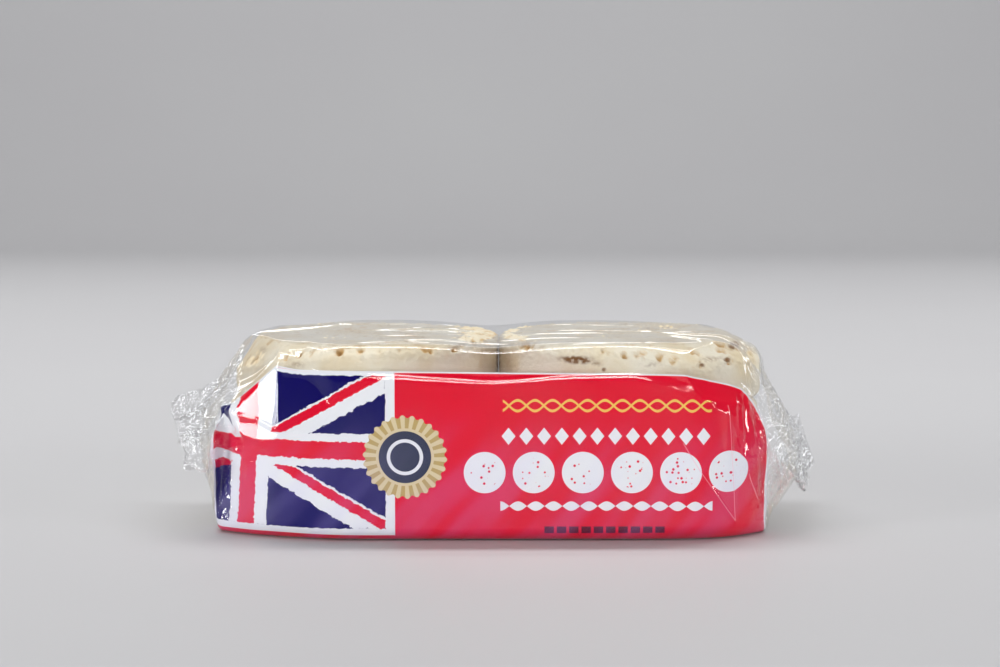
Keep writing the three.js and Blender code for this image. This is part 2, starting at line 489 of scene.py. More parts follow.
def grid_normals(grid):
    along = np.gradient(grid, axis=0)
    around = (np.roll(grid, -1, axis=1) - np.roll(grid, 1, axis=1)) / 2
    normal = np.cross(around, along)
    normal /= np.maximum(np.linalg.norm(normal, axis=2, keepdims=True), 1e-9)
    outward = grid - np.array([0.0, 0.0, HEIGHT / 2])
    middle = grid.shape[0] // 2
    return normal * np.sign((normal[middle] * outward[middle]).sum())


# ---- creases

# Folds of the film as the front shows them: x and z of both ends, then rise and width. A rise under zero is a
# dent. They touch only what faces the front.
FRONT_FOLDS = [
    # the left shoulder: three creases round a flat, and one from its apex to each side
    (-68.0, 59.5, -67.2, 36.0, 0.35, 1.3),
    (-68.2, 58.5, -84.4, 39.0, 0.5, 1.2),
    (-84.4, 39.0, -74.6, 38.6, 0.5, 1.2),
    (-74.6, 38.6, -66.6, 35.0, 0.5, 1.2),
    (-68.5, 59.0, -88.0, 45.0, 0.45, 1.6),
    (-67.5, 59.4, -58.0, 56.8, 0.35, 1.2),
    (-60.0, 62.0, -54.5, 60.0, 0.7, 2.5),
    (-87.0, 45.0, -99.0, 30.0, 0.8, 2.5),
    # the right shoulder: a short crease into the print's corner, then a long one on to the fin
    (62.6, 51.0, 66.6, 45.8, 0.6, 1.4),
    (66.6, 45.8, 74.3, 44.8, 0.7, 1.6),
    (74.3, 44.8, 82.5, 41.4, 0.5, 1.4),
    (82.5, 41.4, 94.5, 31.0, 0.7, 2.0),
    (68.0, 59.0, 90.0, 38.0, 0.6, 1.8),
    # two creases that meet low down at the print's right
    (75.3, 43.0, 77.6, 5.5, 0.45, 1.2),
    (77.6, 5.5, 65.8, 22.4, 0.4, 1.2),
    (83.5, 37.0, 86.5, 4.0, 0.4, 1.6),
]

# Folds over the top, in x and y.
TOP_FOLDS = [
    (-34.0, 8.0, -2.0, 6.0, 0.35, 3.0),
    (-44.0, -33.0, -20.0, -34.0, 0.4, 2.5),
    (-5.0, -17.0, 56.0, -20.0, 0.4, 3.0),
    (0.0, -6.0, 52.0, -2.0, 0.35, 3.0),
    (4.0, -36.0, 56.0, -35.0, 0.45, 2.5),
    (50.0, -38.0, 53.0, -8.0, 0.5, 2.5),
    (56.0, -6.0, 74.0, -34.0, 0.7, 3.0),
    (52.0, 4.0, 84.0, -20.0, 0.6, 4.0),
    (-48.0, 30.0, -84.0, -12.0, 0.6, 4.0),
]

# Folds drawn at random: their count, then the ranges of both start coordinates, both reaches, rise and width.
TOP_STREAKS = (34, [(-62, 42), (-36, 38), (22, 66), (-2.5, 2.5), (0.1, 0.3), (1.6, 3.2)])
BACK_FOLDS = (26, [(-75, 60), (8, 52), (-30, 30), (-20, 20), (0.3, 0.8), (1.8, 6.0)])
END_PLEATS = (18, [(-42, 42), (46, 62), (-7, 7), (-34, -20), (-0.9, 0.9), (1.4, 3.0)])
END_CREASES = (44, [(-42, 42), (8, 56), (-16, 16), (-14, 14), (-0.6, 0.6), (0.9, 2.2)])
FOLD_SEED = 11

# A fold's crest and its fading towards both ends, which follows part of a half wave.
CREST_POWER = 1.4
FADING_POWER = 0.6
FADING_PART = (0.06, 0.94)

# Crumpled film: how many planes are folded, their pitch and their rise.
END_CRUMPLES = ((7, 17.0, 3.0), (7, 6.0, 0.7))
BODY_CRUMPLE = (6, 52.0, 1.0)

# Where folds fade in: by z at the foot and the top, by y at the back and by x at the ends. In a fin they all
# but fade out, by its reach.
FOOT_FADE = (0.0, 7.0)
TOP_FADE = (50.0, 6.0)
BACK_FADE = (30.0, 8.0)
END_FOLD_FADE = (72.0, 12.0)
END_CRUMPLE_FADE = (76.0, 14.0)
FIN_FADE = (0.7, 0.3)
FIN_SMOOTHNESS = 0.9


def add_fold(height, across, up, fold, mask):
    """Raises a sharp ridge between two points of a flat view of the film, fading at both ends."""
    start_across, start_up, end_across, end_up, rise, width = fold
    way_across, way_up = end_across - start_across, end_up - start_up
    along = (across - start_across) * way_across + (up - start_up) * way_up
    along = np.clip(along / (way_across**2 + way_up**2), 0.0, 1.0)
    distance = np.hypot(across - start_across - along * way_across, up - start_up - along * way_up)
    crest = np.clip(1 - distance / width, 0.0, None) ** CREST_POWER
    height += rise * crest * mask * np.sin(math.pi * mix(*FADING_PART, along)) ** FADING_POWER


def random_folds(random, count, ranges):
    folds = []
    for _ in range(count):
        across, up, reach_across, reach_up, rise, width = [random.uniform(low, high) for low, high in ranges]
        folds.append((across, up, across + reach_across, up + reach_up, rise, width))
    return folds


def crumple(points, random, count, pitch, rise):
    """A sum of folded planes at random, which is flat facets between straight creases."""
    height = np.zeros(points.shape[:-1])
    for _ in range(count):
        direction = random.normal(size=3)
        direction /= np.linalg.norm(direction)
        wave = (points @ direction) / pitch + random.uniform(0, 1)
        height += np.abs((wave % 1.0) - 0.5) - 0.25
    return rise * height / math.sqrt(count)


def film_heights(form):
    """How far each point of the film stands off its smooth form, along the normal."""
    random = np.random.default_rng(FOLD_SEED)
    x, y, z = form[..., 0], form[..., 1], form[..., 2]
    top, back = fade_in(z, *TOP_FADE), fade_in(y, *BACK_FADE)
    height = slack_height(form)
    for fold in TOP_FOLDS + random_folds(random, *TOP_STREAKS):
        add_fold(height, x, y, fold, top)
    for fold in random_folds(random, *BACK_FOLDS):
        add_fold(height, x, z, fold, back)
    for side in (-1, 1):
        for fold in random_folds(random, *END_PLEATS) + random_folds(random, *END_CREASES):
            add_fold(height, y, z, fold, fade_in(side * x, *END_FOLD_FADE))
    at_ends = fade_in(np.abs(x), *END_CRUMPLE_FADE)
    for planes in END_CRUMPLES:
        height += at_ends * crumple(form, random, *planes)
    height += (1 - at_ends) * crumple(form, random, *BODY_CRUMPLE)
    return height * fade_in(z, *FOOT_FADE) * (1 - FIN_SMOOTHNESS * fade_in(ring_reaches(), *FIN_FADE))


# The waves that gather the film into the fins: their pitches and shares, the reach at which they fade in, how
# far they go up and along, and how much they bend. Then a fin's crimped part and its toothed cut edge.
GATHER_WAVES = ((29.0, 1.0), (16.0, 0.7), (8.5, 0.4))
GATHER_FADE = (0.45, 0.55)
GATHER_HEIGHT = 1.7
GATHER_LENGTH = 1.0
GATHER_BEND = 0.4
CRIMP_START = 0.15
CRIMP_END = 0.95
CRIMP_DEPTH = 0.16
TOOTH_START = 0.99
TOOTH_PITCH = 3.2
TOOTH_DEPTH = 0.8


def zigzag(place):
    return 4 * np.abs(place % 1.0 - 0.5) - 1


def gather_ends(form, film):
    """Waves the fins and the film that runs into them, both layers alike, and presses ribs into the fins."""
    random = np.random.default_rng(FOLD_SEED + 1)
    reach, side, y = ring_reaches(), np.sign(form[..., 0]), form[..., 1]
    into_fin = fade_in(reach, *GATHER_FADE)
    for pitch, share in GATHER_WAVES:
        lift_phase, length_phase = random.uniform(0, 1, 2)
        bend = (reach - 1) * random.uniform(-GATHER_BEND, GATHER_BEND)
        film[..., 2] += GATHER_HEIGHT * share * into_fin * zigzag(y / pitch + lift_phase + side / 3 + bend)
        film[..., 0] += GATHER_LENGTH * share * into_fin * side * zigzag(y / pitch + length_phase + side / 5)
    on_fin = np.clip(reach - 1, 0.0, 1.0)
    ribs = np.where(np.arange(len(form)) % 2 == 0, 1.0, -1.0)[:, None]
    film[..., 2] += CRIMP_DEPTH * ribs * (on_fin > CRIMP_START) * (on_fin < CRIMP_END)
    film[..., 0] -= side * TOOTH_DEPTH * (on_fin > TOOTH_START) * (zigzag(y / TOOTH_PITCH) > 0)
    film[..., 2] = np.maximum(film[..., 2], 0.0)
    return film


# At the left shoulder the film stands off the crumpets, which is its slack: the middle and the half sizes in
# x and z, and the rise. At both shoulders it is pulled taut into flats: a point of each, how far its facing
# turns right and tilts up, in degrees, then the middle in x and z and the radius of the part that it holds.
SLACK = (-74.0, 46.0, 17.0, 17.0, 3.0)
FLATS = [
    ((-67.2, -40.9, 36.0), -27.8, 5.9, (-74.5, 46.0), 13.0),
    ((-67.2, -40.9, 36.0), -12.0, 7.6, (-62.0, 44.0), 8.0),
    ((-68.5, -33.6, 59.0), -65.0, 34.0, (-80.0, 60.0), 16.0),
    ((67.6, -44.0, 45.6), 38.0, 28.0, (76.0, 52.0), 14.0),
]
FLAT_SHARE = 0.97
FLAT_FADE = 6.0
FRONT_FADE = (4.0, 10.0)


def facing_front(form):
    return fade_in(-form[..., 1], *FRONT_FADE)


def slack_height(form):
    middle_x, middle_z, half_x, half_z, rise = SLACK
    away = np.hypot((form[..., 0] - middle_x) / half_x, (form[..., 2] - middle_z) / half_z)
    return rise * facing_front(form) * ease(2 * (1 - away))


def front_heights(form):
    height = np.zeros(form.shape[:-1])
    for fold in FRONT_FOLDS:
        add_fold(height, form[..., 0], form[..., 2], fold, facing_front(form))
    return height * fade_in(form[..., 2], *FOOT_FADE)


def pull_flat(film):
    for point, turn, tilt, (middle_x, middle_z), radius in FLATS:
        turn, tilt = math.radians(turn), math.radians(tilt)
        level = math.cos(tilt)
        facing = np.array((math.sin(turn) * level, -math.cos(turn) * level, math.sin(tilt)))
        proud = np.maximum((film - np.array(point)) @ facing, 0.0)
        away = np.hypot(film[..., 0] - middle_x, film[..., 2] - middle_z)
        held = FLAT_SHARE * (1 - fade_in(away, radius, FLAT_FADE))
        film = film - (held * proud)[..., None] * facing
    return film


def film_form(form):
    normals = grid_normals(form)
    taut = pull_flat(form + normals * film_heights(form)[..., None])
    return gather_ends(form, taut + normals * front_heights(form)[..., None])


# The clear film's mirroring, and its ranges of haze, roughness and veil: from and to, then the values there.
MIRROR_POWER = 3.6
MIRROR_SHARE = 0.80
HAZE = (0.35, 0.75, 0.022, 0.045)
FILM_ROUGHNESS = (0.3, 0.8, 0.04, 0.09)
VEIL_PAST_PRINT = (-0.044, -0.030, 0.0, 0.03)
VEIL_AT_ENDS = (0.080, 0.092, 0.0, 0.04)
CRACKLE_AT_ENDS = (0.080, 0.092)
CRACKLE_HEIGHT = 0.006


def film_material():
    """Clear film. It mirrors more the flatter it is looked along, as its two faces do. It is faintly hazy,
    less so over the print and more so at both ends, where fine creases crackle it."""
    shader = Shader("clear_film")
    place = shader.object_place()
    haze = shader.noise(place, 26.0, 4.0)
    facing = shader.node("LayerWeight", {"Blend": 0.5}).outputs["Facing"]
    mirror = shader.times(shader.math("POWER", facing, MIRROR_POWER), MIRROR_SHARE)
    x, y, _ = shader.node("SeparateXYZ", {0: place}).outputs
    from_middle = shader.size(x)
    veil = shader.plus(mirror, shader.step(y, *VEIL_PAST_PRINT))
    veil = shader.plus(veil, shader.step(from_middle, *VEIL_AT_ENDS))
    solid = shader.plus(veil, shader.step(haze, *HAZE), clamp=True)
    rough = shader.step(haze, *FILM_ROUGHNESS)
    shader.set(Base_Color=(0.97, 0.98, 0.99, 1.0), Metallic=0.97, Roughness=rough)
    crackle = shader.size(shader.minus(shader.noise(place, 150.0, 3.0), 0.5))
    at_ends = shader.step(from_middle, *CRACKLE_AT_ENDS)
    shader.bump(shader.times(crackle, at_ends), CRACKLE_HEIGHT)
    clear = shader.node("BsdfTransparent", {"Color": (0.985, 0.985, 0.985, 1.0)})
    both = shader.node("MixShader", {0: solid})
    shader.put(both.inputs[1], clear.outputs[0])
    shader.put(both.inputs[2], shader.surface.outputs[0])
    shader.put(shader.output.inputs["Surface"], both.outputs[0])
    return shader.material


# ---- the printed panel

# The print lies on the film's inside, in flat coordinates: u along the pack and v up the front from its foot.
# Its top corner is cut straight at the left and round at the right.
PRINT_LEFT = -89.6
PRINT_RIGHT = 88.9
PRINT_TOP = 53.5
PRINT_TOP_TILT = -0.01
PRINT_UNDER_BASE = 14.0
LEFT_CORNER = (21.1, 17.0)
RIGHT_CORNER = (21.4, 25.0)
PRINT_EDGE_WIDTH = 0.5
INK_DEPTH = 0.2

RED = linear(222, 6, 44)
WHITE = linear(232, 234, 238)
NAVY = linear(14, 8, 92)
GOLD = linear(186, 161, 100)
LIGHT_GOLD = linear(216, 201, 162)
SLATE = linear(48, 56, 74)
PALE_GOLD = linear(236, 196, 96)
DARK = linear(96, 14, 34)

# The lower front is painted a little milky, in soft bands that lean to the right, as a painted reflection of
# the film's sheen: the heights over which this fades in, then the bands' shares of u and v, their scales
# across and up, and their contrast.
PAINTED_SHEEN = linear(180, 165, 250)
PAINTED_SHEEN_SHARE = 0.06
PAINTED_SHEEN_FADE = (46.0, 12.0)
PAINTED_SHEEN_BANDS = (0.77, -0.63, 0.11, 0.02)
PAINTED_SHEEN_CONTRAST = (0.35, 0.65, 0.3, 1.9)

# Thin pale strokes painted along creases in the print, a painted highlight for the creases' glints: the start
# and end of each.
PAINTED_GLINT = linear(246, 176, 192)
PAINTED_GLINT_HALF_WIDTH = 0.14
PAINTED_GLINT_SHARE = 0.45
PAINTED_GLINT_CREASES = [
    ((75.3, 43.0), (77.6, 5.5)),
    ((77.6, 5.5), (65.8, 22.4)),
    ((65.8, 22.4), (60.5, 31.0)),
    ((82.4, 20.0), (86.0, 11.0)),
]


def print_top_edge(u):
    cut = np.clip((PRINT_LEFT + LEFT_CORNER[0] - u) / LEFT_CORNER[0], 0.0, 1.0)
    turned = np.clip((u - PRINT_RIGHT + RIGHT_CORNER[0]) / RIGHT_CORNER[0], 0.0, 1.0)
    drop = LEFT_CORNER[1] * cut + RIGHT_CORNER[1] * (1 - np.sqrt(1 - turned**2))
    return PRINT_TOP + PRINT_TOP_TILT * u - drop


def sample_grid(grid, row, col):
    """Points of a grid at fractional rows and columns, the columns going round."""
    r0 = np.clip(np.floor(row).astype(int), 0, grid.shape[0] - 2)
    c0 = np.floor(col).astype(int)
    tr, tc = (row - r0)[..., None], (col - c0)[..., None]
    c0, c1 = c0 % grid.shape[1], (c0 + 1) % grid.shape[1]
    near = mix(grid[r0, c0], grid[r0, c1], tc)
    far = mix(grid[r0 + 1, c0], grid[r0 + 1, c1], tc)
    return mix(near, far, tr)


def steps_by_height(form, heights):
    """Each ring's fractional steps at which it has climbed to the heights, from the front's foot."""
    order = np.arange(BASE_MIDDLE_STEP, TOP_MIDDLE_STEP, -1)
    lengths = np.linalg.norm(np.diff(form[:, order], axis=1), axis=2)
    climbed = np.concatenate([np.zeros((len(form), 1)), np.cumsum(lengths, axis=1)], axis=1)
    lift = form[:, FOOT_STEP, 2] - form[len(form) // 2, FOOT_STEP, 2] + RIM_LIFT
    climbed += (lift - climbed[:, BASE_MIDDLE_STEP - FOOT_STEP])[:, None]
    return np.array([np.interp(heights, line, order) for line in climbed])


def flat_to_film(form, film, u, v):
    """Points of the film at flat coordinates, moved in by the depth of the ink. There is one u to each row
    of v. u is measured straight along the pack and v round the smooth form."""
    rows = np.arange(len(form), dtype=float)
    heights = np.linspace(v.min(), v.max(), 2 * v.shape[1])
    steps = steps_by_height(form, heights)
    along = sample_grid(form, rows[:, None] + 0 * steps, steps)[..., 0]
    row_at = np.array([np.interp(u, line, rows) for line in along.T])
    step_at = np.array([np.interp(row, rows, line) for row, line in zip(row_at, steps.T)])
    row = np.array([np.interp(line, heights, at) for line, at in zip(v, row_at.T)])
    step = np.array([np.interp(line, heights, at) for line, at in zip(v, step_at.T)])
    return sample_grid(film - grid_normals(film) * INK_DEPTH, row, step)


# The flag's strokes meet at its cross. An arm is a diagonal stroke from there to the field's edge.
FLAG_RIGHT = -30.5
FIELD_RIGHT = FLAG_RIGHT - 3.0
FLAG_BOX = (PRINT_LEFT - 1, FLAG_RIGHT, 1.0, 53.6)
FIELD_BOX = (PRINT_LEFT - 1, FIELD_RIGHT, 3.6, 52.4)
FLAG_CROSS = (-77.4, 28.6)
FLAG_ARMS_RIGHT = ((FIELD_RIGHT, 52.5), (FIELD_RIGHT, 3.5))
FLAG_ARMS_LEFT = ((-121.0, 52.5), (-121.0, 3.5))
FLAG_UPRIGHT = ((-79.2, 2.0), (-75.6, 56.0))
FLAG_LEVEL = ((PRINT_LEFT - 2, 29.2), (FLAG_RIGHT - 3.2, 28.2))

# Layers of the arms: half widths at the right and the left, slide, rag and colour. Then of the cross: the
# upright's half width and slide, the level's half width and the colour.
ARM_LAYERS = ((4.0, 2.5, -0.9, 1.0, WHITE), (1.5, 1.2, 0.9, 0.8, RED))
CROSS_LAYERS = ((6.3, -0.6, 5.4, WHITE), (2.7, 0.0, 2.8, RED))
RAG_DEPTH = 2.6
FIELD_RAG = 0.5
CROSS_RAG = 0.8


def paint_flag(ink):
    rough = ink.noise(ink.place, 0.55, 4.0, 0.6)
    brush = ink.times(ink.minus(rough, 0.5), RAG_DEPTH)

    def ragged(distance, share):
        return ink.plus(distance, ink.times(brush, share))

    whole, field = ink.box(*FLAG_BOX), ink.box(*FIELD_BOX)
    ink.paint(whole, WHITE)
    ink.paint(ragged(field, FIELD_RAG), NAVY)
    for right_half, left_half, slide, rag, colour in ARM_LAYERS:
        arms = [(end, right_half) for end in FLAG_ARMS_RIGHT] + [(end, left_half) for end in FLAG_ARMS_LEFT]
        for end, half_width in arms:
            arm = ink.stroke(FLAG_CROSS, end, half_width, slide)
            ink.paint(ragged(ink.both(arm, field), rag), colour)
    for upright_half, slide, level_half, colour in CROSS_LAYERS:
        upright = ink.stroke(*FLAG_UPRIGHT, upright_half, slide)
        ink.paint(ragged(ink.both(upright, field), CROSS_RAG), colour)
        level = ink.stroke(*FLAG_LEVEL, level_half)
        ink.paint(ragged(ink.both(level, whole), CROSS_RAG), colour)


# The seal's middle and pleats, its radii from the rosette in to the ring, and how hard a pleat's edge is.
SEAL = (-27.3, 26.5)
SEAL_PLEATS = 26
SEAL_PLEAT_DEPTH = 0.45
SEAL_RADIUS = 12.9
SEAL_RIM = 9.2
SEAL_DISC = 8.3
SEAL_RING = 5.2
RING_HALF_WIDTH = 0.55
PLEAT_EDGE = 0.3


def paint_seal(ink):
    """A plain pleated seal: a gold rosette round a dark disc with one pale ring."""
    angle = ink.math("ARCTAN2", ink.minus(ink.v, SEAL[1]), ink.minus(ink.u, SEAL[0]))
    pleats = ink.math("SINE", ink.times(angle, float(SEAL_PLEATS)))
    rosette = ink.plus(ink.disc(*SEAL, SEAL_RADIUS), ink.times(pleats, SEAL_PLEAT_DEPTH))
    ink.paint(rosette, GOLD)
    ink.paint(ink.both(rosette, ink.times(pleats, PLEAT_EDGE)), LIGHT_GOLD)
    ink.paint(ink.disc(*SEAL, SEAL_RIM), LIGHT_GOLD)
    ink.paint(ink.disc(*SEAL, SEAL_DISC), SLATE)
    ring = ink.size(ink.disc(*SEAL, SEAL_RING))
    ink.paint(ink.minus(ring, RING_HALF_WIDTH), WHITE)


# Rows of plain shapes on the red: both ends and the height of the row's middle, then the sizes of a shape.
TWIST = {"row": (3.6, 69.6, 42.9), "pitch": 11.0, "rise": 1.7, "half_width": 0.42}
LOZENGES = {"row": (2.6, 69.8, 33.2), "pitch": 5.6, "half_width": 2.2, "slope": 0.8}
DISCS = {"row": (-9.9, 83.1, 21.6), "pitch": 15.5, "radius": 6.6, "dotted_radius": 4.9, "dot": 0.26}
BEADS = {"row": (2.8, 70.0, 10.9), "pitch": 5.6, "half_height": 1.5}
DASHES = {"row": (16.3, 55.3, 3.2), "pitch": 3.9, "half_length": 1.5, "half_height": 1.2}


def paint_ornaments(ink):
    def across(shape):
        return ink.cell(ink.u, shape["row"][0], shape["pitch"])

    def up(shape):
        return ink.minus(ink.v, shape["row"][2])

    def paint(shape, distance, colour):
        ink.paint(ink.both(distance, ink.band(ink.u, *shape["row"][:2])), colour)

    for turn in (0.0, math.pi):
        angle = ink.plus(ink.times(ink.u, 2 * math.pi / TWIST["pitch"]), turn)
        away = ink.size(ink.minus(up(TWIST), ink.times(ink.math("SINE", angle), TWIST["rise"])))
        paint(TWIST, ink.minus(away, TWIST["half_width"]), PALE_GOLD)
    slope = ink.times(ink.size(up(LOZENGES)), LOZENGES["slope"])
    lozenge = ink.plus(ink.size(across(LOZENGES)), slope)
    paint(LOZENGES, ink.minus(lozenge, LOZENGES["half_width"]), WHITE)
    squares = [ink.math("POWER", place, 2.0) for place in (across(DISCS), up(DISCS))]
    reach = ink.math("SQRT", ink.plus(*squares))
    paint(DISCS, ink.minus(reach, DISCS["radius"]), WHITE)
    dots = ink.node("TexVoronoi", {"Vector": ink.place, "Scale": 0.62, "Randomness": 0.75})
    dot = ink.minus(dots.outputs["Distance"], DISCS["dot"])
    paint(DISCS, ink.both(dot, ink.minus(reach, DISCS["dotted_radius"])), RED)
    bead = ink.size(ink.math("SINE", ink.times(ink.u, math.pi / BEADS["pitch"])))
    paint(BEADS, ink.minus(ink.size(up(BEADS)), ink.times(bead, BEADS["half_height"])), WHITE)
    dash = ink.minus(ink.size(across(DASHES)), DASHES["half_length"])
    paint(DASHES, ink.both(dash, ink.minus(ink.size(up(DASHES)), DASHES["half_height"])), DARK)


# How much painted reflection, a milky sheen in soft bands, lies on the lower front.
def painted_sheen_share(ink):
    across_u, across_v, across_scale, up_scale = PAINTED_SHEEN_BANDS
    across = ink.weighted(ink.u, across_u, ink.v, across_v)
    inputs = {0: ink.times(across, across_scale), 1: ink.times(ink.v, up_scale)}
    bands = ink.noise(ink.node("CombineXYZ", inputs).outputs[0], 1.0, 1.0)
    return ink.times(ink.step(ink.v, *PAINTED_SHEEN_FADE, 0.0, PAINTED_SHEEN_SHARE), ink.step(bands, *PAINTED_SHEEN_CONTRAST))


def print_material():
    ink = Print("printed_film", RED)
    paint_flag(ink)
    paint_seal(ink)
    paint_ornaments(ink)
    # Painted highlights: thin pale strokes along the print's creases.
    for start, end in PAINTED_GLINT_CREASES:
        ink.paint(ink.stroke(start, end, PAINTED_GLINT_HALF_WIDTH), PAINTED_GLINT, PAINTED_GLINT_SHARE)
    ink.paint(ink.minus(ink.attribute("edge"), PRINT_EDGE_WIDTH), WHITE)
    # Painted reflection: the milky sheen bands over the lower front.
    colour = ink.blend(painted_sheen_share(ink), ink.colour, PAINTED_SHEEN)
    ink.set(Base_Color=colour, Roughness=0.5, Specular_IOR_Level=0.0)
    return ink.material


def make_print(form, film):
    across, up = int(300 * FINENESS), int(110 * FINENESS)
    u = np.linspace(PRINT_LEFT, PRINT_RIGHT, across + 1)
    top = print_top_edge(u)
    v = mix(-PRINT_UNDER_BASE, top[:, None], np.linspace(0.0, 1.0, up + 1)[None, :])
    grid = flat_to_film(form, film, u, v)
    piece = make_piece("front_print", grid, False, print_material())
    under_top = (top[:, None] - v) / np.hypot(1.0, np.gradient(top, u))[:, None]
    from_ends = np.minimum(u - PRINT_LEFT, PRINT_RIGHT - u)[:, None]
    set_attribute(piece, "edge", np.minimum(under_top, from_ends))
    flat = piece.data.uv_layers.new(name=FLAT_MAP)
    places = np.stack([np.repeat(u, up + 1), v.ravel()], axis=1) / FLAT_SCALE
    corner = np.zeros(len(piece.data.loops), dtype=np.int32)
    piece.data.loops.foreach_get("vertex_index", corner)
    flat.data.foreach_set("uv", places[corner].ravel())


# ---- crumpets

RIM_ROUND = 3.4
FOOT_ROUND = 4.0
SIDE_BULGE = 0.4
LAYER_GAP = 0.15
FLAKE_REACH = 2.0
FLAKE_DEPTH = 0.35
FLAKE_LENGTH = 3.2
PIT_REACH = 2.6


def crumpet_profile(radius, thickness, top_steps, side_steps):
    """Radius and height from the middle of the top over the rim and the side to the middle of the foot."""
    points = [(r, thickness) for r in np.linspace(0.0, radius - RIM_ROUND, top_steps)]
    for i in range(1, side_steps + 1):
        angle = math.pi / 2 * i / side_steps
        r = radius - RIM_ROUND * (1 - math.sin(angle))
        points.append((r, thickness - RIM_ROUND * (1 - math.cos(angle))))
    for i in range(1, 2 * side_steps + 1):
        t = i / (2 * side_steps)
        r = radius + SIDE_BULGE * math.sin(math.pi * t)
        points.append((r, mix(thickness - RIM_ROUND, FOOT_ROUND, t)))
    for i in range(1, side_steps // 2 + 1):
        angle = math.pi / 2 * i / (side_steps // 2)
        points.append((radius - FOOT_ROUND * (1 - math.cos(angle)), FOOT_ROUND * (1 - math.sin(angle))))
    for r in np.linspace(radius - FOOT_ROUND, 0.0, top_steps // 4)[1:]:
        points.append((r, 0.0))
    return np.array(points)


def turned_points(profile, around):
    """The profile turned about the middle, as a grid of points and their outward normals."""
    angle = np.linspace(0, 2 * math.pi, around, endpoint=False)
    slope = np.gradient(profile, axis=0)
    slope /= np.maximum(np.linalg.norm(slope, axis=1, keepdims=True), 1e-9)
    radius, height = profile[:, 0][:, None], profile[:, 1][:, None]
    out, up = -slope[:, 1][:, None], slope[:, 0][:, None]
    points = np.stack([radius * np.cos(angle), radius * np.sin(angle), height + 0 * angle], axis=2)
    return points, np.stack([out * np.cos(angle), out * np.sin(angle), up + 0 * angle], axis=2)


def soft_waves(points, random, length, count=6):
    """Soft bumps between about -1 and 1, from a few waves at random."""
    total = np.zeros(points.shape[:-1])
    for _ in range(count):
        direction = random.normal(size=3)
        direction /= np.linalg.norm(direction)
        total += np.sin((points @ direction) * 2 * math.pi / length + random.uniform(0, 2 * math.pi))
    return total / math.sqrt(count)


# Holes all over the top and more along the rim, which are smaller: ranges that their draws come from.
PIT_COUNT = 420
PIT_SIZES = (0.5, 2.1)
PIT_DEPTHS = (0.7, 1.5)
PIT_STRETCHES = (0.55, 1.0)
RIM_PIT_COUNT = 110
RIM_PIT_PLACES = (0.93, 0.995)
RIM_PIT_SHARE = 0.6


def crumpet_pits(points, random, radius, thickness):
    """Depth of the holes at each point, and how near a hole's edge it lies."""
    depth = np.zeros(points.shape[:-1])
    edge = np.zeros(points.shape[:-1])
    on_top = fade_in(points[..., 2], thickness - PIT_REACH, 0.8)
    for i in range(PIT_COUNT + RIM_PIT_COUNT):
        share = math.sqrt(random.uniform(0, 1)) if i < PIT_COUNT else random.uniform(*RIM_PIT_PLACES)
        reach, angle, turn = radius * share, random.uniform(0, 2 * math.pi), random.uniform(0, math.pi)
        size = mix(*PIT_SIZES, random.uniform(0, 1) ** 2) * (1.0 if i < PIT_COUNT else RIM_PIT_SHARE)
        deep = size * random.uniform(*PIT_DEPTHS)
        stretch = random.uniform(*PIT_STRETCHES)
        across = points[..., 0] - reach * math.cos(angle)
        along = points[..., 1] - reach * math.sin(angle)
        a = across * math.cos(turn) + along * math.sin(turn)
        b = (along * math.cos(turn) - across * math.sin(turn)) / stretch
        d = np.sqrt(a * a + b * b) / size
        depth = np.maximum(depth, deep * (1 - ease((d - 0.5) / 0.5)) * on_top)
        edge = np.maximum(edge, np.exp(-(((d - 1.0) / 0.3) ** 2)) * on_top)
    return depth, edge


# Browned spots on the sides that face the front: x and z of the middle, half width, half height and strength.
SCORCHES = [
    (27.0, 57.6, 6.0, 1.5, 1.0),
    (33.0, 56.6, 3.0, 1.2, 0.6),
    (35.6, 54.9, 1.1, 0.8, 1.0),
    (-61.5, 56.0, 4.0, 2.0, 0.45),
    (-74.0, 58.8, 3.0, 1.6, 0.45),
    (-14.0, 60.6, 4.0, 1.0, 0.5),
    (-33.0, 60.4, 3.0, 1.0, 0.4),
    (66.5, 55.6, 1.6, 1.0, 0.8),
    (75.5, 56.2, 1.5, 1.2, 0.9),
    (79.0, 59.6, 3.0, 1.3, 0.9),
    (70.0, 57.0, 7.0, 1.3, 0.5),
    (50.0, 56.5, 6.0, 1.4, 0.45),
]
SEAM_X = 2.2
# Painted shade: a darker line along the seam where the two top crumpets meet, its half width and strength.
SEAM_SHADE_HALF_WIDTH = 1.6
SEAM_SHADE_STRENGTH = 0.5
SEAM_CLEARANCE = 0.05
SEAM_EASE = 0.6
SLUMP_HALF_ANGLE = math.radians(30)

# The relief's waves, as rise and length, and how toasted a crumpet is round its holes, under its foot and in
# patches on its top.
RELIEF_WAVES = ((0.30, 34.0), (0.10, 7.0))
PIT_TOAST = 0.55
FOOT_TOAST = 0.9
PATCH_TOAST = 0.2
PATCH_LENGTH = 24.0
PATCH_REACH = 5.0


def browning_and_seam_shade_at(placed):
    x, y, z = placed[..., 0], placed[..., 1], placed[..., 2]
    # Painted shade along the seam between the top crumpets, then the browned spots over it.
    total = SEAM_SHADE_STRENGTH * np.exp(-(((x - SEAM_X) / SEAM_SHADE_HALF_WIDTH) ** 2)) * (z > 2 * CRUMPET_THICKNESS)
    for middle_x, middle_z, half_x, half_z, strength in SCORCHES:
        spread = ((x - middle_x) / half_x) ** 2 + ((z - middle_z) / half_z) ** 2
        total = np.maximum(total, strength * np.exp(-spread) * (y < 0))
    return total


